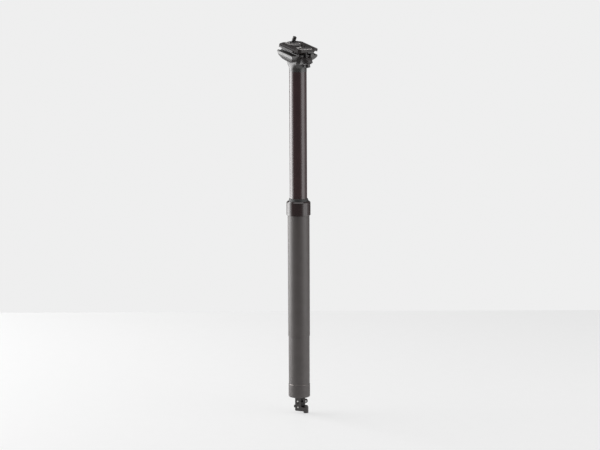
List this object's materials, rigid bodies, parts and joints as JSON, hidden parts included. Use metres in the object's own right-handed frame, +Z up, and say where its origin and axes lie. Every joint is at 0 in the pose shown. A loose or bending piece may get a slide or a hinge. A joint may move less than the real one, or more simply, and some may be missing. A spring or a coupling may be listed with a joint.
{
  "type": "dropper seatpost",
  "caption": "Telescoping dropper bicycle seatpost with a two-bolt saddle clamp, gas cartridge and cable actuator.",
  "frame": {"origin": "on the post axis at the lower face of the collar, where the post meets the top of the seat tube", "axes": "+Z up along the post towards the saddle, +X the riding direction, +Y the rider's left"},
  "size_m": [0.057, 0.0556, 0.6073],
  "materials": {
    "tube_anodised": "matt black anodised",
    "gloss_anodised": "glossy black anodised",
    "stanchion_coat": "glossy black hard anodised",
    "forged_satin": "satin black forged",
    "cradle_satin": "satin black forged",
    "clamp_black": "semi-gloss black anodised",
    "black_steel": "black oxide",
    "bright_steel": "bright",
    "rod_chrome": "ground and chromed",
    "cartridge_metal": "clear anodised",
    "seal_rubber": "matt",
    "foam": "open-cell foam",
    "bushing_plastic": "low-friction polymer",
    "key_brass": "machined",
    "cast_black": "satin black cast"
  },
  "bodies": {
    "post": {"outer_tube": "tube_anodised", "collar": "gloss_anodised", "wiper_seal": "seal_rubber", "foam_ring": "foam", "collar_o_ring": "seal_rubber", "upper_bushing": "bushing_plastic", "top_out_bumper": "seal_rubber", "bottom_cap": "tube_anodised", "cap_o_ring": "seal_rubber", "piston_rod": "rod_chrome", "main_piston": "cartridge_metal", "piston_seal": "seal_rubber", "rod_nut": "bright_steel", "actuator_bracket": "cast_black", "bracket_screws": "black_steel", "cheek_rivets": "bright_steel", "spring_screw": "black_steel", "pivot_pin": "black_steel", "pivot_clip": "black_steel", "return_spring": "black_steel"},
    "slider": {"stanchion": "stanchion_coat", "lower_bushing": "bushing_plastic", "anti_rotation_keys": "key_brass", "cartridge_cylinder": "cartridge_metal", "cartridge_end_plug": "cartridge_metal", "rod_guide": "cartridge_metal", "rod_seal": "seal_rubber", "guide_retaining_ring": "black_steel", "head": "forged_satin", "cartridge_bolt": "black_steel"},
    "floater": {"floating_piston": "cartridge_metal", "floating_piston_seal": "seal_rubber"},
    "saddle_clamp": {"lower_cradle": "cradle_satin", "upper_clamp": "clamp_black"},
    "front_bolt": {"front_clamp_bolt": "black_steel", "front_half_round_washer": "black_steel"},
    "rear_bolt": {"rear_clamp_bolt": "black_steel", "rear_half_round_washer": "black_steel"},
    "front_nut": {"front_barrel_nut": "black_steel"},
    "rear_nut": {"rear_barrel_nut": "black_steel"},
    "actuator_lever": {"lever": "cast_black"},
    "release": {"release_pin": "bright_steel", "valve_poppet": "bright_steel"},
    "anchor": {"cable_anchor": "black_steel", "anchor_grub_screw": "bright_steel"}
  },
  "joints": [
    {"name": "post_slide", "type": "slide", "parent": "post", "child": "slider", "axis": [0, 0, -1], "range_m": [0, 0.2], "stiffness_N_per_m": 1000, "springref_m": -0.25},
    {"name": "floater_slide", "type": "slide", "parent": "slider", "child": "floater", "axis": [0, 0, 1], "range_m": [0, 0.0785]},
    {"name": "clamp_tilt", "type": "hinge", "parent": "slider", "child": "saddle_clamp", "pos_m": [0, 0, 0.2622], "axis": [0, 1, 0], "range_deg": [-6, 6]},
    {"name": "front_bolt_swing", "type": "hinge", "parent": "slider", "child": "front_bolt", "pos_m": [0.0204, 0, 0.2407], "axis": [0, 1, 0], "range_deg": [-1, 1]},
    {"name": "rear_bolt_swing", "type": "hinge", "parent": "slider", "child": "rear_bolt", "pos_m": [-0.0219, 0, 0.2502], "axis": [0, 1, 0], "range_deg": [-2, 2]},
    {"name": "front_nut_turn", "type": "hinge", "parent": "saddle_clamp", "child": "front_nut", "pos_m": [0.01509, 0, 0.2652], "axis": [0, 1, 0], "range_deg": [-6.5, 6.5]},
    {"name": "rear_nut_turn", "type": "hinge", "parent": "saddle_clamp", "child": "rear_nut", "pos_m": [-0.01157, 0, 0.27234], "axis": [0, 1, 0], "range_deg": [-6, 6]},
    {"name": "lever_turn", "type": "hinge", "parent": "post", "child": "actuator_lever", "pos_m": [0.00311, 0.00311, -0.3076], "axis": [-0.7071, 0.7071, 0], "range_deg": [0, 16], "stiffness_Nm_per_rad": 0.03, "springref_deg": -17.19},
    {"name": "pin_lift", "type": "slide", "parent": "post", "child": "release", "axis": [0, 0, 1], "range_m": [0, 0.00137]},
    {"name": "anchor_turn", "type": "hinge", "parent": "actuator_lever", "child": "anchor", "pos_m": [0.00742, 0.00742, -0.3033], "axis": [-0.7071, 0.7071, 0], "range_deg": [-16, 0]}
  ],
  "couplings": [
    {"joint": "floater_slide", "follows": "post_slide", "ratio": 0.39062},
    {"joint": "front_bolt_swing", "follows": "clamp_tilt", "ratio": -0.012794},
    {"joint": "rear_bolt_swing", "follows": "clamp_tilt", "ratio": 0.1744},
    {"joint": "front_nut_turn", "follows": "clamp_tilt", "ratio": -1.0128},
    {"joint": "rear_nut_turn", "follows": "clamp_tilt", "ratio": -0.8256},
    {"joint": "lever_turn", "follows": "pin_lift", "rad_per_m": 201.98},
    {"joint": "anchor_turn", "follows": "pin_lift", "rad_per_m": -201.98}
  ]
}
